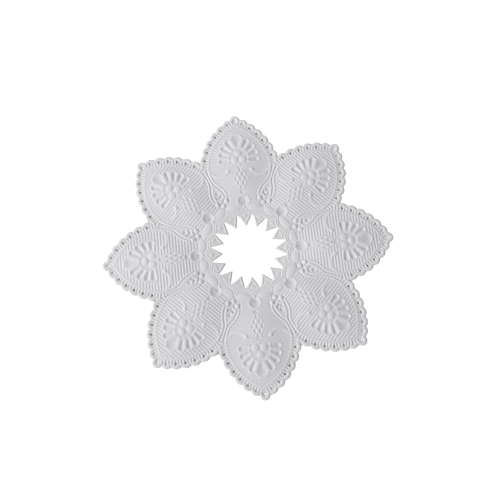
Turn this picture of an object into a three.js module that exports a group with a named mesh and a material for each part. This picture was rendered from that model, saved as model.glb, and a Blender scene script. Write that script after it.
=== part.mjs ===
// A posy frill: a star-shaped lace collar of embossed, die-cut paper with eight pointed petals
// round a toothed hole. It slips up the stems of a hand-tied posy or the handle of a bouquet holder.
// It is cut from one sheet, so its pieces are the panels between its fold lines: a ring-shaped web,
// a free tip for each petal, and sixteen grip teeth that bend as the stems pass through.
// Millimetres, +Z up. The collar lies on Z = 0 with its hole round the Z axis, petal_1 along +Y.
import * as THREE from "three";

// Driving dimensions
const PAPER = 0.4; // thickness of the embossed sheet
const FOLD_CLEARANCE = 0.22; // half of the slit that stands for a living hinge
const PETALS = 8;
const TEETH = 16;

// Petal edge: each flank is one curve, scalloped, with an eyelet in every scallop
const FLANK_RADIUS = 45.3; // curve through the eyelets of one flank
const FLANK_CENTRE_X = -19.6; // its centre lies across the petal's axis
const FLANK_CENTRE_Y = 57.1; // and this far out from the collar's centre
const SCALLOPS = 6; // on each flank, besides the one at the tip
const SCALLOP_FIRST = THREE.MathUtils.degToRad(56.8); // bearing of the scallop next to the tip
const SCALLOP_STEP = THREE.MathUtils.degToRad(8.28); // bearing from one scallop to the next
const SCALLOP_CREST = 3.8; // crest beyond the eyelet line
const SCALLOP_DEPTH = 1.4; // crest above the cusps
const TIP_SCALLOP_RADIUS = 3.6;
const TIP_RADIUS = 102.2; // centre of the collar to the tip of a petal
const TIP_EYELET_RADIUS = 97.7; // centre of the collar to the eyelet at the tip
const EYELET_RADIUS = 0.55;

// Fold lines, measured along a petal's or a tooth's axis from the collar's centre
const NOTCH_RADIUS = 74.3; // bottom of the notch between two petals
const PETAL_FOLD = NOTCH_RADIUS * Math.cos(Math.PI / PETALS);
const FLAT_RING = 42; // the web is flat inside this line and slopes down outside it
const TOOTH_FOLD = 25.7;

// Grip teeth
const TOOTH_TIP = 18.3; // centre of the collar to a tooth's point
const TOOTH_TIP_RADIUS = 0.4;
const NOTCH_CENTRE = 26; // centre of the round notch between two teeth
const TOOTH_NOTCH_RADIUS = 0.5;

// Rest shape: a shallow dome that stands on its petal tips
const RING_RISE = 2.6; // middle of the sheet at the flat ring
const PETAL_FALL = THREE.MathUtils.degToRad(1.2); // slope of a petal tip, outwards and down
const TOOTH_FALL = THREE.MathUtils.degToRad(3); // slope of a tooth, inwards and down
const PETAL_FOLD_RISE =
  (TIP_RADIUS - PETAL_FOLD) * Math.sin(PETAL_FALL) + (PAPER / 2) * Math.cos(PETAL_FALL);

const turn = (point, angle) => point.clone().rotateAround(new THREE.Vector2(), angle);
const bearing = (radius, angle) => new THREE.Vector2(radius * Math.cos(angle), radius * Math.sin(angle));
const paper = () => new THREE.MeshStandardMaterial({ color: 0xf3f2f4, roughness: 0.85, metalness: 0 });

// A flat panel cut from the sheet, with the middle of its thickness on its own XY plane.
function panel(shape) {
  const holeSides = 3; // sides in a half turn of an eyelet
  const options = { depth: PAPER, bevelEnabled: false, curveSegments: holeSides };
  return new THREE.ExtrudeGeometry(shape, options).translate(0, 0, -PAPER / 2);
}

// Sheet over plan triangles (turning left), lifted to heightAt, with walls on its free edges.
function foldedSheet(points, triangles, heightAt) {
  const positions = [];
  const corner = (index, side) => {
    const { x, y } = points[index];
    positions.push(x, y, heightAt(points[index]) + (side * PAPER) / 2);
  };
  const edges = new Map();
  for (const [a, b, c] of triangles) {
    [a, b, c].forEach((index) => corner(index, 1));
    [c, b, a].forEach((index) => corner(index, -1));
    for (const [from, to] of [[a, b], [b, c], [c, a]]) {
      if (!edges.delete(`${to},${from}`)) edges.set(`${from},${to}`, [from, to]);
    }
  }
  for (const [from, to] of edges.values()) {
    corner(from, 1);
    corner(from, -1);
    corner(to, 1);
    corner(to, 1);
    corner(from, -1);
    corner(to, -1);
  }
  const geometry = new THREE.BufferGeometry();
  geometry.setAttribute("position", new THREE.Float32BufferAttribute(positions, 3));
  geometry.computeVertexNormals();
  return geometry;
}

// Corners of an eight-sided line that crosses every petal's axis at right angles.
function octagon(apothem) {
  const radius = apothem / Math.cos(Math.PI / PETALS);
  const corners = [];
  for (let k = 0; k < PETALS; k += 1) corners.push(bearing(radius, ((k + 0.5) * 2 * Math.PI) / PETALS));
  return corners;
}

// The hole's edge on the web: a straight fold line behind each tooth, a round notch between two.
function toothedHole() {
  const step = (2 * Math.PI) / TEETH;
  const foldAt = TOOTH_FOLD + FOLD_CLEARANCE;
  const across = foldAt - NOTCH_CENTRE * Math.cos(step / 2);
  const half = (Math.PI + step) / 2 - Math.asin(across / TOOTH_NOTCH_RADIUS);
  const arcSides = 4;
  const edge = [];
  for (let j = 0; j < TEETH; j += 1) {
    const axis = (j + 0.5) * step + Math.PI / 2;
    for (let i = 0; i <= arcSides; i += 1) {
      const angle = axis - half + (2 * half * i) / arcSides;
      edge.push(bearing(NOTCH_CENTRE, axis).add(bearing(TOOTH_NOTCH_RADIUS, angle)));
    }
  }
  return edge;
}

// Height of the middle of the web's sheet: flat ring, then eight gentle slopes to the petal folds.
function webHeight(point) {
  let along = 0;
  for (let k = 0; k < PETALS; k += 1) along = Math.max(along, turn(point, (k * 2 * Math.PI) / PETALS).y);
  const outward = Math.max(0, (along - FLAT_RING) / (PETAL_FOLD - FLAT_RING));
  return RING_RISE + (PETAL_FOLD_RISE - RING_RISE) * outward;
}

function laceWeb() {
  const hole = toothedHole();
  const flat = octagon(FLAT_RING);
  const rim = octagon(PETAL_FOLD - FOLD_CLEARANCE);
  const clockwiseHole = [...hole].reverse();
  const triangles = THREE.ShapeUtils.triangulateShape(flat, [clockwiseHole]);
  const points = [...flat, ...clockwiseHole, ...rim];
  const firstRim = flat.length + hole.length;
  for (let k = 0; k < PETALS; k += 1) {
    const next = (k + 1) % PETALS;
    triangles.push([k, firstRim + k, firstRim + next]);
    triangles.push([k, firstRim + next, next]);
  }
  return foldedSheet(points, triangles, webHeight);
}

// A point of the right-hand flank: bearing round the flank's centre, distance from it, in the petal's
// own frame, whose X axis is the fold line.
function flankPoint(angle, radius) {
  const point = bearing(radius, angle);
  return new THREE.Vector2(FLANK_CENTRE_X + point.x, FLANK_CENTRE_Y + point.y - PETAL_FOLD);
}

// Right-hand edge of a petal tip, from the fold line up to the tip.
function flankEdge() {
  const arcSides = 6;
  const edge = [];
  for (let i = SCALLOPS - 1; i >= 0; i -= 1) {
    for (let s = 0; s <= arcSides; s += 1) {
      const across = (2 * s) / arcSides - 1;
      const angle = SCALLOP_FIRST - i * SCALLOP_STEP + (across * SCALLOP_STEP) / 2;
      const point = flankPoint(angle, FLANK_RADIUS + SCALLOP_CREST - SCALLOP_DEPTH * across ** 2);
      const repeated = s === 0 && edge.length > 0;
      if (point.y > FOLD_CLEARANCE && !repeated) edge.push(point);
    }
  }
  edge.unshift(new THREE.Vector2(edge[0].x, FOLD_CLEARANCE));
  const tipCentre = TIP_RADIUS - TIP_SCALLOP_RADIUS - PETAL_FOLD;
  const tipSides = 5; // on each side of the axis
  for (let s = 1; s <= tipSides; s += 1) {
    const angle = (Math.PI / 2) * (s / tipSides);
    const point = bearing(TIP_SCALLOP_RADIUS, angle);
    edge.push(new THREE.Vector2(point.x, tipCentre + point.y));
  }
  return edge;
}

function eyelet(x, y) {
  return new THREE.Path().absarc(x, y, EYELET_RADIUS, 0, 2 * Math.PI, true);
}

// Free tip of a petal. The eyelet nearest each notch lies on the fold, so it has no hole here.
function petalTip() {
  const right = flankEdge();
  const left = right
    .slice(0, -1)
    .reverse()
    .map((point) => new THREE.Vector2(-point.x, point.y));
  const shape = new THREE.Shape([...right, ...left]);
  shape.holes.push(eyelet(0, TIP_EYELET_RADIUS - PETAL_FOLD));
  for (let i = 0; i < SCALLOPS - 1; i += 1) {
    const { x, y } = flankPoint(SCALLOP_FIRST - i * SCALLOP_STEP, FLANK_RADIUS);
    shape.holes.push(eyelet(x, y));
    shape.holes.push(eyelet(-x, y));
  }
  return panel(shape);
}

// Triangular grip tooth with a blunt point. Its X axis is its fold line, and it points along -Y.
function gripTooth() {
  const step = (2 * Math.PI) / TEETH;
  const rootHalf = NOTCH_CENTRE * Math.sin(step / 2) - TOOTH_NOTCH_RADIUS * Math.cos(step / 2);
  const shape = new THREE.Shape();
  shape.moveTo(rootHalf, -FOLD_CLEARANCE);
  shape.lineTo(-rootHalf, -FOLD_CLEARANCE);
  const blunt = Math.PI / 6; // bearing where a side meets the round point
  const tipSides = 6;
  for (let s = 0; s <= tipSides; s += 1) {
    const angle = Math.PI + blunt + ((Math.PI - 2 * blunt) * s) / tipSides;
    const point = bearing(TOOTH_TIP_RADIUS, angle);
    shape.lineTo(point.x, point.y + TOOTH_TIP + TOOTH_TIP_RADIUS - TOOTH_FOLD);
  }
  return panel(shape);
}

// Hangs a panel on its fold line: out from the centre, at a height, sloped about the fold.
function onFold(geometry, name, angle, distance, rise, slope) {
  const mesh = new THREE.Mesh(geometry, paper());
  mesh.name = name;
  mesh.position.set(0, distance, rise);
  mesh.rotation.x = slope;
  const bearingGroup = new THREE.Group();
  bearingGroup.rotation.z = angle;
  bearingGroup.add(mesh);
  return bearingGroup;
}

const collar = new THREE.Group();
const web = new THREE.Mesh(laceWeb(), paper());
web.name = "lace_web";
collar.add(web);

const petal = petalTip();
for (let k = 0; k < PETALS; k += 1) {
  const angle = (k * 2 * Math.PI) / PETALS;
  collar.add(onFold(petal, `petal_${k + 1}`, angle, PETAL_FOLD, PETAL_FOLD_RISE, -PETAL_FALL));
}

const tooth = gripTooth();
for (let j = 0; j < TEETH; j += 1) {
  const angle = (j * 2 * Math.PI) / TEETH;
  collar.add(onFold(tooth, `grip_tooth_${j + 1}`, angle, TOOTH_FOLD, RING_RISE, TOOTH_FALL));
}

export default collar;
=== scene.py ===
"""Posy frill: a star-shaped paper-lace collar with eight pointed petals round a toothed hole.

One sheet of white card paper, embossed and die-cut in one blow. Flat sizes are in millimetres,
turned into metres where a mesh is made. The hole's axis is Z, and the first petal lies along +Y.
"""
import math

import bpy
import numpy as np
from mathutils import Matrix, Vector, geometry


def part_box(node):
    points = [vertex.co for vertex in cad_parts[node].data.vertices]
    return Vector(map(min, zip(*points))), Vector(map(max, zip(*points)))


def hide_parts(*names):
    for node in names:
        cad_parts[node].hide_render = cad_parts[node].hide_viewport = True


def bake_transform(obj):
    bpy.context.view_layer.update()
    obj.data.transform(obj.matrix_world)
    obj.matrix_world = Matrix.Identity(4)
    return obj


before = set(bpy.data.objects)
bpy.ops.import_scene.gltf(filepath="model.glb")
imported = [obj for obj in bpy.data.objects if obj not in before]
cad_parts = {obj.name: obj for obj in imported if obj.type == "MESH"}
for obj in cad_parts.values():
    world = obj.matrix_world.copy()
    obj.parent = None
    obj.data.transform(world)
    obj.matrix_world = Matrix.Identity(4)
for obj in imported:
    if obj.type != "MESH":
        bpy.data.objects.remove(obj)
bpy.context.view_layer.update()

# ---------------------------------------------------------------------------------------------
# Studio: the frill lies on a pale table, seen from almost straight above. A broad soft lamp stands
# low on the left, a small softbox hangs over the back, and a white room fills the shadows.
# ---------------------------------------------------------------------------------------------
VIEW_DISTANCE = 0.4775
VIEW_ELEVATION = math.radians(76.98)
VIEW_AZIMUTH = math.radians(-10.34)
VIEW_ROLL = math.radians(4.19)
VIEW_TARGET = Vector((0.00084, 0.00113, 0.0002))

camera_data = bpy.data.cameras.new("view_camera")
camera_data.lens = 49.2
camera = bpy.data.objects.new("view_camera", camera_data)
bpy.context.collection.objects.link(camera)
bpy.context.scene.camera = camera
toward_camera = Vector((
    math.sin(VIEW_AZIMUTH) * math.cos(VIEW_ELEVATION),
    -math.cos(VIEW_AZIMUTH) * math.cos(VIEW_ELEVATION),
    math.sin(VIEW_ELEVATION),
))
upright = toward_camera.to_track_quat("Z", "Y").to_matrix()
camera.matrix_world = (
    Matrix.Translation(VIEW_TARGET + toward_camera * VIEW_DISTANCE)
    @ (upright @ Matrix.Rotation(VIEW_ROLL, 3, "Z")).to_4x4()
)

LAMP_BEARING = math.radians(191)
LAMP_ELEVATION = math.radians(36)
lamp_data = bpy.data.lights.new("soft_lamp", "SUN")
lamp_data.energy = 2.6
lamp_data.angle = math.radians(22)
lamp = bpy.data.objects.new("soft_lamp", lamp_data)
bpy.context.collection.objects.link(lamp)
toward_lamp = Vector((
    math.cos(LAMP_BEARING) * math.cos(LAMP_ELEVATION),
    math.sin(LAMP_BEARING) * math.cos(LAMP_ELEVATION),
    math.sin(LAMP_ELEVATION),
))
lamp.rotation_euler = toward_lamp.to_track_quat("Z", "Y").to_euler()

softbox_data = bpy.data.lights.new("high_softbox", "AREA")
softbox_data.energy = 0.8
softbox_data.size = 0.35
softbox = bpy.data.objects.new("high_softbox", softbox_data)
bpy.context.collection.objects.link(softbox)
softbox.location = (-0.28, 0.26, 0.46)
softbox.rotation_euler = softbox.location.to_track_quat("Z", "Y").to_euler()

room = bpy.data.worlds.new("white_room")
room.use_nodes = True
room.node_tree.nodes["Background"].inputs["Color"].default_value = (1.0, 1.0, 1.0, 1)
room.node_tree.nodes["Background"].inputs["Strength"].default_value = 0.345
bpy.context.scene.world = room
bpy.context.scene.view_settings.view_transform = "Standard"

# The table glows wherever it sees the room, so it stays white round the frill. Under the paper it is
# dark, which shows through the eyelets. It also glows all over the hole, up to the roots of the teeth.
TABLE_SIZE = 6.0
TABLE_GLOW = 0.92
SKY_REACH = 0.02  # paper further off than this doesn't shade the table
SHADED = 0.22  # the share of the room that a spot sees where the glow starts
OPEN = 0.36  # and where the glow is full
HOLE_ROOTS = 0.028
HOLE_BLUR = 0.0005
table_paint = bpy.data.materials.new("pale_table")
table_paint.use_nodes = True
table_nodes = table_paint.node_tree.nodes
table_links = table_paint.node_tree.links
table_shader = table_nodes["Principled BSDF"]
table_shader.inputs["Base Color"].default_value = (0.22, 0.22, 0.22, 1)
table_shader.inputs["Emission Color"].default_value = (1, 1, 1, 1)
table_shader.inputs["Roughness"].default_value = 0.9
open_sky = table_nodes.new("ShaderNodeAmbientOcclusion")
open_sky.inputs["Distance"].default_value = SKY_REACH
open_glow = table_nodes.new("ShaderNodeMapRange")
open_glow.inputs["From Min"].default_value = SHADED
open_glow.inputs["From Max"].default_value = OPEN
open_glow.inputs["To Max"].default_value = TABLE_GLOW
table_spot = table_nodes.new("ShaderNodeNewGeometry")
from_middle = table_nodes.new("ShaderNodeVectorMath")
from_middle.operation = "LENGTH"
hole_glow = table_nodes.new("ShaderNodeMapRange")
hole_glow.inputs["From Min"].default_value = HOLE_ROOTS + HOLE_BLUR
hole_glow.inputs["From Max"].default_value = HOLE_ROOTS - HOLE_BLUR
hole_glow.inputs["To Max"].default_value = TABLE_GLOW
brighter = table_nodes.new("ShaderNodeMath")
brighter.operation = "MAXIMUM"
table_links.new(open_sky.outputs["AO"], open_glow.inputs["Value"])
table_links.new(table_spot.outputs["Position"], from_middle.inputs[0])
table_links.new(from_middle.outputs["Value"], hole_glow.inputs["Value"])
table_links.new(open_glow.outputs["Result"], brighter.inputs[0])
table_links.new(hole_glow.outputs["Result"], brighter.inputs[1])
table_links.new(brighter.outputs["Value"], table_shader.inputs["Emission Strength"])
table_mesh = bpy.data.meshes.new("table_top")
half_table = TABLE_SIZE / 2
table_corners = [(-half_table, -half_table, 0), (half_table, -half_table, 0)]
table_corners += [(half_table, half_table, 0), (-half_table, half_table, 0)]
table_mesh.from_pydata(table_corners, [], [(0, 1, 2, 3)])
table_mesh.materials.append(table_paint)
table_top = bpy.data.objects.new("table_top", table_mesh)
bpy.context.collection.objects.link(table_top)

# ---------------------------------------------------------------------------------------------
# Lace paper: smooth white card of long wood fibres, matt, pressed between two heated dies.
# It keeps a fine fibre grain. Painted shade darkens its hollows and eyelet funnels, and a painted highlight
# lightens its crests a little.
# ---------------------------------------------------------------------------------------------
lace_paper = bpy.data.materials.new("lace_paper")
lace_paper.use_nodes = True
nodes = lace_paper.node_tree.nodes
links = lace_paper.node_tree.links
paper_shader = nodes["Principled BSDF"]
paper_shader.inputs["Roughness"].default_value = 0.72
paper_shader.inputs["Specular IOR Level"].default_value = 0.35
paper_shader.inputs["Sheen Weight"].default_value = 0.08
paper_shader.inputs["Sheen Roughness"].default_value = 0.6
place = nodes.new("ShaderNodeTexCoord")


def paper_noise(scale, detail, stretch=(1, 1, 1)):
    """Noise over the sheet: scale is in blotches to the metre."""
    mapping = nodes.new("ShaderNodeMapping")
    mapping.inputs["Scale"].default_value = stretch
    links.new(place.outputs["Object"], mapping.inputs["Vector"])
    texture = nodes.new("ShaderNodeTexNoise")
    texture.inputs["Scale"].default_value = scale
    texture.inputs["Detail"].default_value = detail
    links.new(mapping.outputs["Vector"], texture.inputs["Vector"])
    return texture.outputs["Fac"]


def paper_ramp(value, stops):
    """Colours by value: stops are (value, colour) pairs."""
    ramp = nodes.new("ShaderNodeValToRGB")
    elements = ramp.color_ramp.elements
    while len(elements) < len(stops):
        elements.new(0.5)
    for element, (position, colour) in zip(elements, stops):
        element.position = position
        element.color = (*colour, 1)
    links.new(value, ramp.inputs["Fac"])
    return ramp.outputs["Color"]


def paper_mix(kind, share, first, second):
    """Two colours put together, share being a number or another output."""
    mix = nodes.new("ShaderNodeMix")
    mix.data_type = "RGBA"
    mix.blend_type = kind
    if isinstance(share, float):
        mix.inputs["Factor"].default_value = share
    else:
        links.new(share, mix.inputs["Factor"])
    links.new(first, mix.inputs["A"])
    links.new(second, mix.inputs["B"])
    return mix.outputs["Result"]


CLOUDS = 38  # these four are blotches to the metre
SPECKS = 2600
FIBRES = 900
FELT_DIMPLES = 3200
DULL_WHITE = (0.635, 0.63, 0.65)
CLEAR_WHITE = (0.665, 0.66, 0.675)
FIBRE_HEIGHT = 0.00008
FELT_DEPTH = 0.00004
clouding = paper_ramp(paper_noise(CLOUDS, 4), [(0.3, DULL_WHITE), (0.7, CLEAR_WHITE)])
speckle = paper_ramp(paper_noise(SPECKS, 2), [(0.35, (0.93, 0.93, 0.935)), (0.65, (1, 1, 1))])
grained = paper_mix("MULTIPLY", 0.6, clouding, speckle)
pressed = nodes.new("ShaderNodeAttribute")
pressed.attribute_name = "pressed_height"
# Painted shade and highlight by pressed height: the deepest hollows and eyelet funnels are painted dark,
# and the crests a touch lighter.
painted_shade_and_highlight = paper_ramp(pressed.outputs["Fac"], [
    (0.0, (0.3, 0.3, 0.31)),
    (0.14, (0.9, 0.898, 0.905)),
    (0.5, (0.985, 0.985, 0.985)),
    (0.72, (1.0, 1.0, 1.0)),
])
links.new(paper_mix("MULTIPLY", 1.0, grained, painted_shade_and_highlight), paper_shader.inputs["Base Color"])
fibres = paper_noise(FIBRES, 6, (1, 3.5, 1))
felt = paper_noise(FELT_DIMPLES, 3)
fibre_bump = nodes.new("ShaderNodeBump")
fibre_bump.inputs["Strength"].default_value = 0.34
fibre_bump.inputs["Distance"].default_value = FIBRE_HEIGHT
links.new(fibres, fibre_bump.inputs["Height"])
felt_bump = nodes.new("ShaderNodeBump")
felt_bump.inputs["Strength"].default_value = 0.18
felt_bump.inputs["Distance"].default_value = FELT_DEPTH
links.new(felt, felt_bump.inputs["Height"])
links.new(fibre_bump.outputs["Normal"], felt_bump.inputs["Normal"])
links.new(felt_bump.outputs["Normal"], paper_shader.inputs["Normal"])

# ---------------------------------------------------------------------------------------------
# The cut: one flat petal sector, from the tooth roots at the hole to the scalloped point.
# A steel rule die cuts it; every half petal mirrors the other across the petal's axis.
# ---------------------------------------------------------------------------------------------
PETALS = 8
NOTCH_RADIUS = 74.3  # bottom of the notch between two petals
FLANK_RADIUS = 45.3  # the curve through the eyelets of one flank
FLANK_CENTRE = (-19.6, 57.1)  # its centre lies across the petal's axis
SCALLOPS = 6  # on each flank, besides the one at the tip
SCALLOP_FIRST = math.radians(56.8)  # bearing of the scallop next to the tip
SCALLOP_STEP = math.radians(8.28)
SCALLOP_CREST = 3.8  # crest beyond the eyelets
SCALLOP_DEPTH = 1.4  # crest above the cusps
TIP_SCALLOP_RADIUS = 3.6
TIP_RADIUS = 102.2
TIP_EYELET_RADIUS = 97.7
EYELET_RADIUS = 0.55
TOOTH_FOLD = 25.7
TOOTH_NOTCH_CENTRE = 26.0
TOOTH_NOTCH_RADIUS = 0.5
RIB_PITCH = 2.056
GRAIN = RIB_PITCH / 6  # spacing of the mesh
VALLEY = math.pi / PETALS
ACROSS_VALLEY = np.array((math.cos(VALLEY), -math.sin(VALLEY)))
ALONG_VALLEY = np.array((math.sin(VALLEY), math.cos(VALLEY)))


def on_circle(centre, radius, angle):
    """The point of a circle at an angle."""
    return (centre[0] + radius * math.cos(angle), centre[1] + radius * math.sin(angle))


def even_steps(start, end):
    """Points from start to end, the last one left out, about a grain apart."""
    start, end = np.array(start, float), np.array(end, float)
    steps = max(1, round(np.linalg.norm(end - start) / GRAIN))
    return [tuple(start + (end - start) * i / steps) for i in range(steps)]


def scalloped_edge():
    """Right-hand edge of a petal, from its tip down to the notch."""
    edge = []
    tip_centre = (0, TIP_RADIUS - TIP_SCALLOP_RADIUS)
    tip_steps = 16
    for s in range(tip_steps):
        edge.append(on_circle(tip_centre, TIP_SCALLOP_RADIUS, math.pi / 2 * (1 - s / tip_steps)))
    steps = 20
    off_valley = 0.25
    below_tip = 0.2
    for i in range(SCALLOPS):
        for s in range(steps):
            across = 1 - 2 * s / steps
            angle = SCALLOP_FIRST - i * SCALLOP_STEP + across * SCALLOP_STEP / 2
            radius = FLANK_RADIUS + SCALLOP_CREST - SCALLOP_DEPTH * across**2
            point = on_circle(FLANK_CENTRE, radius, angle)
            if np.dot(point, ACROSS_VALLEY) < -off_valley and point[1] < tip_centre[1] - below_tip:
                edge.append(point)
    return edge


def tooth_notch():
    """Round bottom of the notch between the tooth on the valley and the tooth on the axis."""
    bearing = math.pi / 2 - VALLEY / 2
    centre = on_circle((0, 0), TOOTH_NOTCH_CENTRE, bearing)
    half = math.pi / 2 + VALLEY / 2 - math.asin((TOOTH_FOLD - centre[1]) / TOOTH_NOTCH_RADIUS)
    steps = 8
    angles = [bearing - half + 2 * half * s / steps for s in range(steps + 1)]
    return [on_circle(centre, TOOTH_NOTCH_RADIUS, angle) for angle in angles]


eyelets = [(0.0, TIP_EYELET_RADIUS)]
for scallop in range(SCALLOPS):
    eyelets.append(on_circle(FLANK_CENTRE, FLANK_RADIUS, SCALLOP_FIRST - scallop * SCALLOP_STEP))
petal_edge = scalloped_edge()

# ---------------------------------------------------------------------------------------------
# The embossing: a brass die and its counter press the whole sheet at once, raised lines and sunk cells.
# u is the distance from the petal's axis and y runs along it; v and r run across and along the valley
# between two petals.
# ---------------------------------------------------------------------------------------------


def ease(low, high, value):
    """A smooth step: 0 at low, 1 at high."""
    t = np.clip((value - low) / (high - low), 0, 1)
    return t * t * (3 - 2 * t)


def line_of(distance, width):
    """A pressed line: 1 on its middle, gone two widths away."""
    return np.exp(-((distance / width) ** 2))


def bead_of(distance, radius):
    """A pressed bead: a rounded dome, 0 at its radius."""
    inside = np.clip(1 - (distance / radius) ** 2, 0, 1)
    return inside**0.6 * ease(0, 0.3, inside)


def curve_through(points):
    """A smooth line through a few points."""
    before = 2 * np.array(points[0]) - points[1]
    after = 2 * np.array(points[-1]) - points[-2]
    knots = np.array([before, *points, after])
    steps = 8
    line = []
    for a, b, c, d in zip(knots, knots[1:], knots[2:], knots[3:]):
        for t in np.linspace(0, 1, steps, endpoint=False):
            bend = (2 * a - 5 * b + 4 * c - d) * t**2 + (3 * b - a - 3 * c + d) * t**3
            line.append((2 * b + (c - a) * t + bend) / 2)
    line.append(knots[-2])
    return np.array(line)


def distance_to(u, y, line):
    """Distance to a line of short straight pieces."""
    nearest = np.full(u.shape, 1e9)
    for (ax, ay), (bx, by) in zip(line[:-1], line[1:]):
        dx, dy = bx - ax, by - ay
        t = np.clip(((u - ax) * dx + (y - ay) * dy) / (dx * dx + dy * dy), 0, 1)
        nearest = np.minimum(nearest, np.hypot(u - ax - t * dx, y - ay - t * dy))
    return nearest


def distance_to_pod(u, y, wide_end, wide, thin_end, thin):
    """Distance to the edge of a seed-shaped pod, below 0 inside it."""
    dx, dy = thin_end[0] - wide_end[0], thin_end[1] - wide_end[1]
    t = np.clip(((u - wide_end[0]) * dx + (y - wide_end[1]) * dy) / (dx * dx + dy * dy), 0, 1)
    return np.hypot(u - wide_end[0] - t * dx, y - wide_end[1] - t * dy) - wide - (thin - wide) * t


def from_valley(v, r):
    """A point given across and along the valley, as u and y."""
    return (r * math.sin(VALLEY) + v * math.cos(VALLEY), r * math.cos(VALLEY) - v * math.sin(VALLEY))


# Border: a raised line inside the eyelets, drawn in towards the valley, then bellied round the leaf.
BORDER_RADIUS = 42.55
BORDER_TOP = 93.9
border_knots = [(0.0, BORDER_TOP)]
for degrees in (56, 50, 43, 36, 29, 22, 15):
    inset = max(0, degrees - 35) / 27  # the line leaves the eyelets a little towards the tip
    border_knots.append(on_circle(FLANK_CENTRE, BORDER_RADIUS - inset, math.radians(degrees)))
border_knots += [from_valley(-3.1, 65.6), from_valley(-2.2, 62.3), from_valley(-1.85, 58.8)]
border_knots += [from_valley(-2.1, 55.5), from_valley(-3.0, 53.0), from_valley(-4.15, 50.6)]
border_knots += [from_valley(-5.2, 47.2), from_valley(-5.4, 44.0), from_valley(-4.9, 41.5)]
border_knots += [from_valley(-3.9, 39.6)]
border_line = curve_through(border_knots)
leaf_knots = [from_valley(0, 54), from_valley(-0.7, 52.3), from_valley(-2.0, 49.7), from_valley(-2.7, 46.7)]
leaf_knots += [from_valley(-3.15, 43.7), from_valley(-3.4, 41.6), from_valley(-3.5, 40)]
leaf_line = curve_through(leaf_knots)


def along_valley(u, y):
    """How far out a point lies along the valley."""
    return u * ALONG_VALLEY[0] + y * ALONG_VALLEY[1]


def border_at(y):
    """How far the border lies from the petal's axis, at y along it."""
    return np.interp(y, border_line[::-1, 1], border_line[::-1, 0])


def width_of(line, r):
    """How far a line lies from the valley, at r along the valley."""
    along = line @ ALONG_VALLEY
    order = np.argsort(along)
    return np.interp(r, along[order], -(line @ ACROSS_VALLEY)[order])


def press_palmette(u, y):
    """A drop and four pods a side, sunk, each in a raised rim; three balls in the heart under them."""
    drop_depth, pod_depth, pod_end_depth, heart_depth = 0.42, 0.45, 0.12, 0.06
    rim_rise, bead_rise, ball_rise = 0.28, 0.24, 0.55
    heart = (0, 68.5)
    pods_of_a_side = [(12.1, 2.0), (11.2, 1.7), (10.9, 1.6), (10.9, 1.6)]  # reach, half length
    pod_wide, pod_thin, pod_tail = 1.5, 0.8, 0.9
    first_bearing, bearing_step = 28.3, 23.5  # degrees from the axis, to a pod's middle
    first_lean, lean_step = 30, 20  # degrees from the axis, along a pod
    drop_end, drop_wide, drop_foot, drop_thin = (0, 82.8), 3.35, (0, 78.2), 1.15
    beads = [(1.5, 76.3), (4.3, 74.4), (6.4, 71.8), (7.2, 68.5), (6.8, 65.2)]
    drop = distance_to_pod(u, y, drop_end, drop_wide, drop_foot, drop_thin)
    pods = np.full(u.shape, 1e9)
    ends = np.zeros_like(u)
    for k, (reach, half_length) in enumerate(pods_of_a_side):
        centre = on_circle(heart, reach, math.pi / 2 - math.radians(first_bearing + bearing_step * k))
        lean = math.pi / 2 - math.radians(first_lean + lean_step * k)
        outer = on_circle(centre, half_length, lean)
        inner = on_circle(centre, -half_length - pod_tail, lean)
        pods = np.minimum(pods, distance_to_pod(u, y, outer, pod_wide, inner, pod_thin))
        ends = np.maximum(ends, line_of(np.hypot(u - outer[0], y - outer[1]), 1.1))
    edge = np.minimum(drop, pods)
    height = -pod_depth * ease(0.3, -1.2, pods) - pod_end_depth * ends - drop_depth * ease(0.35, -2.4, drop)
    from_heart = np.hypot(u, y - 69.0)
    height += rim_rise * line_of(edge - 0.85, 0.45) * (0.35 + 0.65 * ease(6.8, 9.2, from_heart))
    for bead_u, bead_y in beads:
        height += bead_rise * line_of(np.hypot(u - bead_u, y - bead_y), 0.8)
    height -= heart_depth * ease(8.0, 5.6, np.hypot(u, y - 69.6)) * ease(-0.2, 0.8, edge)
    height += ball_rise * bead_of(np.hypot(u, (y - 71.9) * 1.2), 2.75)
    height += ball_rise * bead_of(np.hypot(u - 3.0, y - 66.9), 2.7)
    cleared = np.maximum(ease(2.0, 1.2, edge), ease(8.4, 7.2, np.hypot(u, y - 69.3)))
    return height, cleared


def press_lattice(u, y):
    """A lozenge of raised crossing bars with nine small sunk cells."""
    bar_rise, cell_depth = 0.18, 0.5
    cell_half, cell_rise, middle = 1.78, 3.3, 52.8
    edge_in, edge_out = 1.45, 1.62  # where the outermost bars end, in cells from the middle
    p = (u / cell_half + (y - middle) / cell_rise) / 2
    q = (u / cell_half - (y - middle) / cell_rise) / 2
    reach = np.maximum(np.abs(p), np.abs(q))
    cells = (0.5 + 0.5 * np.cos(2 * np.pi * p)) * (0.5 + 0.5 * np.cos(2 * np.pi * q))
    return ease(edge_out, edge_in, reach) * (bar_rise - cell_depth * cells), ease(1.85, 1.6, reach)


def press_scroll(u, y):
    """A low raised scroll that curls under the palmette and ends in a bead."""
    scroll_rise, bead_rise = 0.27, 0.36
    scroll_u, scroll_y, scroll_radius = 14.6, 62.5, 7.0
    bead_u, bead_y, bead_radius = 8.4, 59.2, 1.6
    around = np.abs(np.hypot(u - scroll_u, y - scroll_y) - scroll_radius)
    low = ease(60.5, 59.0, y) * (u > 7)  # only the lower arc is drawn
    bead = np.hypot(u - bead_u, y - bead_y)
    height = scroll_rise * line_of(around, 0.9) * low + bead_rise * bead_of(bead, bead_radius)
    return height, np.maximum(0.7 * ease(1.4, 0.6, around) * low, ease(2.0, 1.3, bead))


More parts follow.
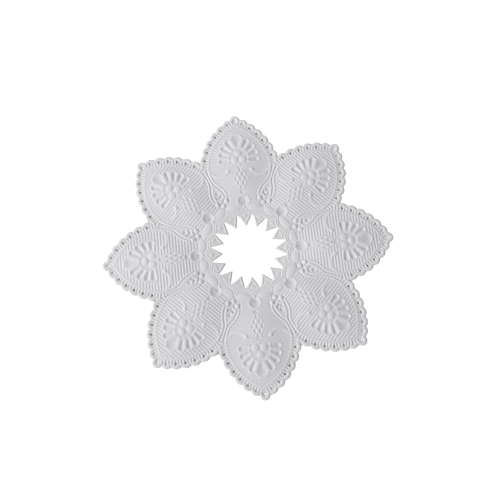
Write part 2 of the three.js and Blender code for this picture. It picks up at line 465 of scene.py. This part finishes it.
def press_balls(u, y):
    """Sunk balls on the petal's axis: two small ones, and a big one in a raised ring by the wreath."""
    stem_rise, ring_rise, small_depth, big_depth = 0.2, 0.2, 0.5, 0.55
    small_balls, small_radius = (61.2, 43.1), 1.55
    big_ball, ring_radius = 36.6, 4.2
    height = np.zeros_like(u)
    cleared = np.zeros_like(u)
    height += stem_rise * line_of(u, 0.75) * ease(58.6, 60.0, y) * ease(66.5, 65.0, y)
    for middle in small_balls:
        distance = np.hypot(u, y - middle)
        height -= small_depth * bead_of(distance, small_radius)
        cleared = np.maximum(cleared, ease(2.4, 1.7, distance))
    distance = np.hypot(u, y - big_ball)
    height += ring_rise * line_of(distance - ring_radius, 0.55) - big_depth * ease(3.9, 1.4, distance)
    return height, np.maximum(cleared, ease(5.3, 4.5, distance))


def press_wreath_leaf(u, y):
    """A plump raised leaf on either side of the big ball."""
    leaf_rise, vein_depth = 0.5, 0.1
    middle_u, middle_y = 7.2, 32.1
    half_length, width_out, width_in = 5.9, 2.3, 3.7
    lean = math.radians(9)
    along = (u - middle_u) * math.cos(lean) - (y - middle_y) * math.sin(lean)
    across = (u - middle_u) * math.sin(lean) + (y - middle_y) * math.cos(lean)
    width = np.where(across > 0, width_out, width_in)
    reach = (along / half_length) ** 2 + np.abs(across / width) ** 1.8
    vein = vein_depth * line_of(across, 0.45) * ease(0.9, 0.6, reach)
    return leaf_rise * np.clip(1 - reach, 0, 1) ** 0.9 - vein, ease(1.5, 1.1, reach)


def press_valley(u, y):
    """Between two petals: a raised stem that opens into a leaf of sunk chevrons over three beads."""
    stem_rise, leaf_rise, leaf_line_rise, bead_rise = 0.28, 0.14, 0.3, 0.45
    gully_depth, chevron_depth, low_chevron_depth, bead_moat_depth = 0.2, 0.7, 0.45, 0.22
    leaf_tip_depth, foot_depth, stud_rise, small_stud_rise = 0.25, 0.3, 0.3, 0.2
    v = np.abs(u * ACROSS_VALLEY[0] + y * ACROSS_VALLEY[1])
    r = along_valley(u, y)
    stem = ease(53.2, 54.6, r) * ease(66.2, 65.0, r)
    height = stem_rise * line_of(v, 0.5) * stem
    height += leaf_line_rise * line_of(distance_to(u, y, leaf_line), 0.55)
    leaf_half = np.where(r > 54, 0, width_of(leaf_line, r))
    border_half = width_of(border_line[len(border_line) // 2:], r)
    gully = np.abs(v - (leaf_half + border_half) / 2)
    height -= gully_depth * line_of(gully, 0.5) * ease(40, 42, r) * ease(66.5, 65, r)
    in_leaf = ease(0.4, 1.1, leaf_half - v)
    fold = r - 0.87 * v  # constant along a chevron's arms
    height += leaf_rise * in_leaf * ease(38, 40, r)
    height -= chevron_depth * line_of(fold - 42.6, 0.7) * ease(3.1, 2.3, v) * in_leaf
    height -= low_chevron_depth * line_of(fold - 39.0, 0.6) * ease(2.6, 1.8, v)
    height -= chevron_depth * line_of(np.hypot(v, r - 46.7), 1.1)
    height -= leaf_tip_depth * line_of(np.hypot(v, r - 50.0), 0.6)
    for bead_v, bead_r, radius in [(0, 36.9, 1.5), (3.4, 39.1, 1.45)]:
        distance = np.hypot(v - bead_v, r - bead_r)
        height += bead_rise * bead_of(distance, radius) - bead_moat_depth * line_of(distance - 2.1, 0.55)
    height -= foot_depth * line_of(np.hypot(v, r - 34.0), 0.8)
    height += stud_rise * line_of(np.hypot(v, r - 69.3), 0.95)
    return height + small_stud_rise * line_of(np.hypot(v, r - 65.9), 0.75)


TEETH = 16


def press_wreath(u, y):
    """Sixteen double raised arcs in a ring round the hole, and a low bead on the root of every tooth."""
    outer_rise, inner_rise, bead_rise = 0.32, 0.3, 0.2
    between_depth, inside_depth = 0.14, 0.16
    arc_centre, outer_arc, inner_arc = 35.9, 8.8, 7.4
    bead_place, bead_radius = 25.95, 1.7
    half_step = math.pi / TEETH
    turn = np.arctan2(u, y)
    turn = np.abs((turn + half_step) % (2 * half_step) - half_step)
    radius = np.hypot(u, y)
    arc = np.hypot(radius * np.sin(half_step - turn), radius * np.cos(half_step - turn) - arc_centre)
    below = radius * np.cos(half_step - turn) < arc_centre
    arcs = outer_rise * line_of(arc - outer_arc, 0.45) + inner_rise * line_of(arc - inner_arc, 0.45)
    grooves = between_depth * line_of(arc - 8.1, 0.35) + inside_depth * line_of(arc - 6.6, 0.5)
    bead = np.hypot(radius * np.sin(turn), radius * np.cos(turn) - bead_place)
    return (arcs - grooves) * below + bead_rise * bead_of(bead, bead_radius)


EYELET_FUNNEL = 1.05  # the pin that pierces an eyelet presses a funnel this wide
BARS_PER_SCALLOP = 3
petal_edge_line = np.array(petal_edge + [tuple(NOTCH_RADIUS * ALONG_VALLEY)])


def press_edge(u, y):
    """Ladder of short bars from the border out to the eyelets, and a rounded raised rim past them."""
    bar_rise, rim_rise, crest_rise = 0.22, 0.17, 0.27
    cusp_depth, cut_drop, dish_depth, funnel_depth = 0.08, 0.25, 0.08, 0.3
    to_centre = np.hypot(u - FLANK_CENTRE[0], y - FLANK_CENTRE[1])
    angle = np.arctan2(y - FLANK_CENTRE[1], u - FLANK_CENTRE[0])
    r = along_valley(u, y)
    border_u = border_at(y)
    outer_band = ease(0.3, 1.0, to_centre - BORDER_RADIUS) * ease(-1.4, -0.2, FLANK_RADIUS - to_centre)
    low_band = ease(0.3, 0.9, u - border_u) * ease(63.5, 65.0, r) * ease(72.5, 71.0, r)
    band = np.maximum(outer_band * (angle < SCALLOP_FIRST + 0.1), low_band)
    bars = -bar_rise * np.cos(2 * np.pi * (SCALLOP_FIRST - angle) / SCALLOP_STEP * BARS_PER_SCALLOP)
    rim = distance_to(u, y, petal_edge_line)
    from_crest = 2 * np.abs((SCALLOP_FIRST - angle) / SCALLOP_STEP % 1 - 0.5)
    lobes = 1 - (1 - from_crest) ** 2.5
    lobes = np.where(angle > SCALLOP_FIRST + SCALLOP_STEP / 2, 1, lobes)
    height = bars * band + (rim_rise + crest_rise * lobes) * bead_of(rim - 1.35, 1.45)
    height -= cusp_depth * (1 - lobes) * line_of(rim - 1.8, 1.0) + cut_drop * line_of(rim, 0.5)
    for eyelet_u, eyelet_y in eyelets:
        distance = np.hypot(u - eyelet_u, y - eyelet_y)
        funnel = ease(EYELET_FUNNEL, EYELET_RADIUS, distance)
        height -= dish_depth * line_of(distance, 1.5) + funnel_depth * funnel
    return height


def pressed_height(x, y):
    """Height of the embossing over the plain sheet, at points of one petal sector."""
    rib_rise, border_rise, border_low_rise, border_moat_depth = 0.16, 0.2, 0.1, 0.1
    u = np.abs(x)
    r = along_valley(u, y)
    border_u = border_at(y)
    first_rib = 60.8
    ribbed = ease(0.2, 1.3, border_u - u) * ease(34.3, 35.3, y) * (y < border_line[0, 1])
    height = np.zeros_like(u)
    for press in (press_palmette, press_lattice, press_scroll, press_balls, press_wreath_leaf):
        motif, cleared = press(u, y)
        height += motif
        ribbed = ribbed * (1 - cleared)
    height += rib_rise * np.cos(2 * np.pi * (y - first_rib) / RIB_PITCH) * ribbed
    border = line_of(distance_to(u, y, border_line), 0.55)
    height += (border_rise + border_low_rise * ease(66, 60, y)) * border
    height -= border_moat_depth * line_of(border_u - u - 1.25, 0.55) * (r < 62) * (y > 38)
    return height + press_valley(u, y) + press_wreath(u, y) + press_edge(u, y)


# ---------------------------------------------------------------------------------------------
# Petals: eight sectors of the one sheet, each a shallow convex blade that bends on the line of
# its notches. Ring heights come from the frame, so each petal lies where its panel is.
# ---------------------------------------------------------------------------------------------
MM = 0.001
PAPER = 0.4  # thickness of the sheet
ring_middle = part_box("lace_web")[1].z / MM - PAPER / 2
petal_fold = NOTCH_RADIUS * math.cos(VALLEY)
fold_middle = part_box("petal_1")[1].z / MM - PAPER / 2
tip_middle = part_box("petal_1")[0].z / MM + PAPER / 2
FLAT_RING = 42.0
RING_KNEE = 4
FOLD_KNEE = 8
PETAL_CROWN = 1.75  # rise of the axis above the petal's edges
WIDEST = 26.5  # half of a petal's greatest width
PETAL_ARCH = 0.6  # rise of the middle of its length
ARCH_MIDDLE = 66
ARCH_REACH = 36
LOOSE_LIFT = 0.2  # the petals lie on the burrs of their eyelets


def softened(distance, knee):
    """0 before a fold and the distance past it, with a rounded knee."""
    return (distance + np.sqrt(distance**2 + knee**2)) / 2


def sheet_middle(x, y):
    """Height of the middle of the paper: flat ring, shallow dome, convex petals."""
    web_fall = (ring_middle - fold_middle) / (petal_fold - FLAT_RING)
    petal_fall = (fold_middle - tip_middle) / (TIP_RADIUS - petal_fold)
    height = ring_middle - web_fall * softened(y - FLAT_RING, RING_KNEE)
    height += (web_fall - petal_fall) * softened(y - petal_fold, FOLD_KNEE)
    half_width = np.clip(y * math.tan(VALLEY), 1, WIDEST)
    bow = 0.5 + 0.5 * np.cos(np.pi * np.clip(np.abs(x) / half_width, 0, 1))
    arch = 0.5 + 0.5 * np.cos(np.pi * np.clip((y - ARCH_MIDDLE) / ARCH_REACH, -1, 1))
    height += LOOSE_LIFT * ease(FLAT_RING, ARCH_MIDDLE, y) + PETAL_ARCH * arch
    crowned = ease(30, 56, y) * ease(103, 76, y)  # the crown fades out at the ring and at the tip
    return height + PETAL_CROWN * bow * crowned


def inside_of(points, outline):
    """Which points lie inside a closed outline, by counting the edges to their right."""
    x, y = points[:, 0], points[:, 1]
    count = np.zeros(len(points), int)
    for (ax, ay), (bx, by) in zip(outline, np.roll(outline, -1, axis=0)):
        if ay != by:
            crossing = ax + (y - ay) / (by - ay) * (bx - ax)
            count += ((ay > y) != (by > y)) & (x < crossing)
    return count % 2 == 1


def fill_outline(outline, holes, axis_holes, keep_off):
    """Flat mesh inside a closed outline: points and triangles, with rows of points along the ribs."""
    outline = np.array(outline)
    low, high = outline.min(0), outline.max(0)
    rows = []
    row_step = GRAIN * 0.93
    ring_sides = 16
    for j in range(int((high[1] - low[1]) / row_step) + 2):
        offset = GRAIN / 2 * (j % 2)
        y = low[1] + j * row_step
        rows += [(low[0] + offset + i * GRAIN, y) for i in range(int((high[0] - low[0]) / GRAIN) + 2)]
    for centre, radius in holes + axis_holes:
        for ring in (1.6, 2.2, 2.9):
            bearings = [2 * math.pi * s / ring_sides - math.pi / 2 for s in range(ring_sides)]
            rows += [on_circle(centre, radius * ring, bearing) for bearing in bearings]
    inner = np.array(rows)
    inner = inner[inside_of(inner, outline)]
    to_edge = distance_to(inner[:, 0], inner[:, 1], np.vstack([outline, outline[:1]]))
    inner = inner[to_edge > keep_off]
    for (hole_x, hole_y), radius in holes:
        inner = inner[np.hypot(inner[:, 0] - hole_x, inner[:, 1] - hole_y) > radius + keep_off]
    points = [tuple(p) for p in outline]
    edges = [(i, (i + 1) % len(outline)) for i in range(len(outline))]
    hole_sides = 14
    for centre, radius in holes:
        first = len(points)
        cut = [on_circle(centre, radius, 2 * math.pi * s / hole_sides) for s in range(hole_sides)]
        points += cut
        edges += [(first + s, first + (s + 1) % hole_sides) for s in range(hole_sides)]
    points += [tuple(p) for p in inner]
    found = geometry.delaunay_2d_cdt([Vector(p) for p in points], edges, [], 1, 1e-7)
    points = np.array([tuple(p) for p in found[0]])
    triangles = np.array(found[2])
    middles = points[triangles].mean(1)
    kept = inside_of(middles, outline)
    for (hole_x, hole_y), radius in holes:
        kept &= np.hypot(middles[:, 0] - hole_x, middles[:, 1] - hole_y) > radius * 0.97
    triangles = triangles[kept]
    a, b, c = (points[triangles[:, i]] for i in range(3))
    clockwise = np.cross(b - a, c - a) < 0
    triangles[clockwise] = triangles[clockwise][:, ::-1]
    return points, triangles


def both_halves(points, triangles):
    """A half on the right of the axis and its mirror image, joined along the axis."""
    on_axis = points[:, 0] < 1e-6
    mirrored = np.where(on_axis, np.arange(len(points)), 0)
    mirrored[~on_axis] = len(points) + np.arange((~on_axis).sum())
    left = points[~on_axis] * (-1, 1)
    return np.vstack([points, left]), np.vstack([triangles, mirrored[triangles][:, ::-1]])


def paper_piece(name, points, middle, relief, triangles, bearing):
    """A closed sheet of paper over flat triangles, turned to its place round the hole."""
    count = len(points)
    turn = np.array([[math.cos(bearing), -math.sin(bearing)], [math.sin(bearing), math.cos(bearing)]])
    plan = points @ turn.T
    top = np.column_stack([plan, middle + relief + PAPER / 2])
    under = np.column_stack([plan, middle + relief - PAPER / 2])
    sides = np.vstack([triangles[:, [0, 1]], triangles[:, [1, 2]], triangles[:, [2, 0]]])
    keys = sides[:, 0] * count + sides[:, 1]
    free = sides[~np.isin(keys, sides[:, 1] * count + sides[:, 0])]
    walls = np.column_stack([free[:, 0], free[:, 0] + count, free[:, 1] + count, free[:, 1]])
    faces = triangles.tolist() + (triangles[:, ::-1] + count).tolist() + walls.tolist()
    mesh = bpy.data.meshes.new(name)
    mesh.from_pydata((np.vstack([top, under]) * MM).tolist(), [], faces)
    mesh.shade_smooth()
    mesh.set_sharp_from_angle(angle=math.radians(55))
    full_relief = 1.6  # from the deepest hollow, painted darkest with shade, to the highest crest, painted lightest
    pressed_share = np.clip(0.5 + relief / full_relief, 0, 1)
    # this share drives the painted shade in the hollows and the painted highlight on the crests
    attribute = mesh.attributes.new("pressed_height", "FLOAT", "POINT")
    both_sides = np.concatenate([pressed_share, 1 - pressed_share])
    attribute.data.foreach_set("value", both_sides.astype(np.float32))
    mesh.materials.append(lace_paper)
    piece = bpy.data.objects.new(name, mesh)
    bpy.context.collection.objects.link(piece)
    return piece


# The outline of half a sector: the petal's edge, the valley, half a tooth's root, the notch, half of
# the next tooth's root, and the axis up to the tip, round half of the eyelet there.
tip_hole_sides = 7
half_outline = list(petal_edge)
half_outline += even_steps(NOTCH_RADIUS * ALONG_VALLEY, TOOTH_FOLD * ALONG_VALLEY)
half_outline += even_steps(TOOTH_FOLD * ALONG_VALLEY, tooth_notch()[0])
half_outline += tooth_notch()[:-1]
half_outline += even_steps(tooth_notch()[-1], (0, TOOTH_FOLD))
half_outline += even_steps((0, TOOTH_FOLD), (0, TIP_EYELET_RADIUS - EYELET_RADIUS))
for s in range(tip_hole_sides):
    half_outline.append(on_circle(eyelets[0], EYELET_RADIUS, -math.pi / 2 + math.pi * s / tip_hole_sides))
half_outline += even_steps((0, TIP_EYELET_RADIUS + EYELET_RADIUS), (0, TIP_RADIUS))
half_outline = [(0.0 if abs(x) < 1e-9 else x, y) for x, y in half_outline]
flank_holes = [(centre, EYELET_RADIUS) for centre in eyelets[1:]]
tip_holes = [(eyelets[0], EYELET_RADIUS)]
half_points, half_triangles = fill_outline(half_outline, flank_holes, tip_holes, keep_off=0.2)
sector_points, sector_triangles = both_halves(half_points, half_triangles)
sector_middle = sheet_middle(sector_points[:, 0], sector_points[:, 1])
sector_relief = pressed_height(sector_points[:, 0], sector_points[:, 1])

for k in range(PETALS):
    bearing = 2 * math.pi * k / PETALS
    name = f"petal_{k + 1}"
    petal = paper_piece(
        f"lace_{name}", sector_points, sector_middle, sector_relief, sector_triangles, bearing
    )
    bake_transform(petal)
    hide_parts(name)
    if k == 0:
        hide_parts("lace_web")

# ---------------------------------------------------------------------------------------------
# Grip teeth: sixteen triangles of the same sheet with slightly blunt points, cut apart by sharp
# notches and left hinged on the hole's edge, where they are pushed down a little to hold the stems.
# ---------------------------------------------------------------------------------------------
TOOTH_TIP = 18.3
TOOTH_TIP_RADIUS = 0.4
TOOTH_FALL = math.radians(3)


def tooth_half():
    """Right-hand half of a flat tooth: root, notch, straight flank, blunt point."""
    notch_bearing = math.pi / 2 - VALLEY / 2
    notch = on_circle((0, 0), TOOTH_NOTCH_CENTRE, notch_bearing)
    tip = (0, TOOTH_TIP + TOOTH_TIP_RADIUS)
    apart = math.hypot(notch[0] - tip[0], notch[1] - tip[1])
    lean = math.atan2(notch[1] - tip[1], notch[0] - tip[0])
    lean += math.asin((TOOTH_TIP_RADIUS + TOOTH_NOTCH_RADIUS) / apart)
    flank_top = on_circle(notch, TOOTH_NOTCH_RADIUS, lean + math.pi / 2)
    flank_foot = on_circle(tip, TOOTH_TIP_RADIUS, lean - math.pi / 2)
    root_end = tooth_notch()[-1]
    outline = even_steps((0, TOOTH_TIP), (0, TOOTH_FOLD))
    outline += even_steps((0, TOOTH_FOLD), root_end)
    outline.append(root_end)
    outline += even_steps(flank_top, flank_foot)
    tip_steps = 3
    for s in range(tip_steps):
        angle = (lean - math.pi / 2) * (1 - s / tip_steps) - math.pi / 2 * s / tip_steps
        outline.append(on_circle(tip, TOOTH_TIP_RADIUS, angle))
    return [(0.0 if abs(x) < 1e-9 else x, y) for x, y in outline]


def press_tooth(x, y):
    """The wreath's bead at the root, a fine raised line inside both cut sides, and a sunk middle."""
    u = np.abs(x)
    cut_line = np.array([(4.55, 25.5), (0.36, 18.5)])  # from the root to the point
    from_cut = distance_to(u, y, cut_line)
    line_rise, cut_drop, middle_depth = 0.2, 0.38, 0.14
    side = line_rise * line_of(from_cut - 1.0, 0.4) - cut_drop * line_of(from_cut, 0.5)
    side -= middle_depth * ease(1.2, 1.8, from_cut)
    return press_wreath(u, y) + side * ease(25.6, 24.8, y)


tooth_points, tooth_triangles = fill_outline(tooth_half(), [], [], keep_off=0.18)
tooth_points, tooth_triangles = both_halves(tooth_points, tooth_triangles)
tooth_relief = press_tooth(tooth_points[:, 0], tooth_points[:, 1])
past_fold = TOOTH_FOLD - tooth_points[:, 1]
tooth_middle = ring_middle - past_fold * math.sin(TOOTH_FALL)
fallen_points = np.column_stack([tooth_points[:, 0], TOOTH_FOLD - past_fold * math.cos(TOOTH_FALL)])

for j in range(TEETH):
    bearing = 2 * math.pi * j / TEETH
    name = f"grip_tooth_{j + 1}"
    tooth = paper_piece(f"lace_{name}", fallen_points, tooth_middle, tooth_relief, tooth_triangles, bearing)
    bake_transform(tooth)
    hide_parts(name)
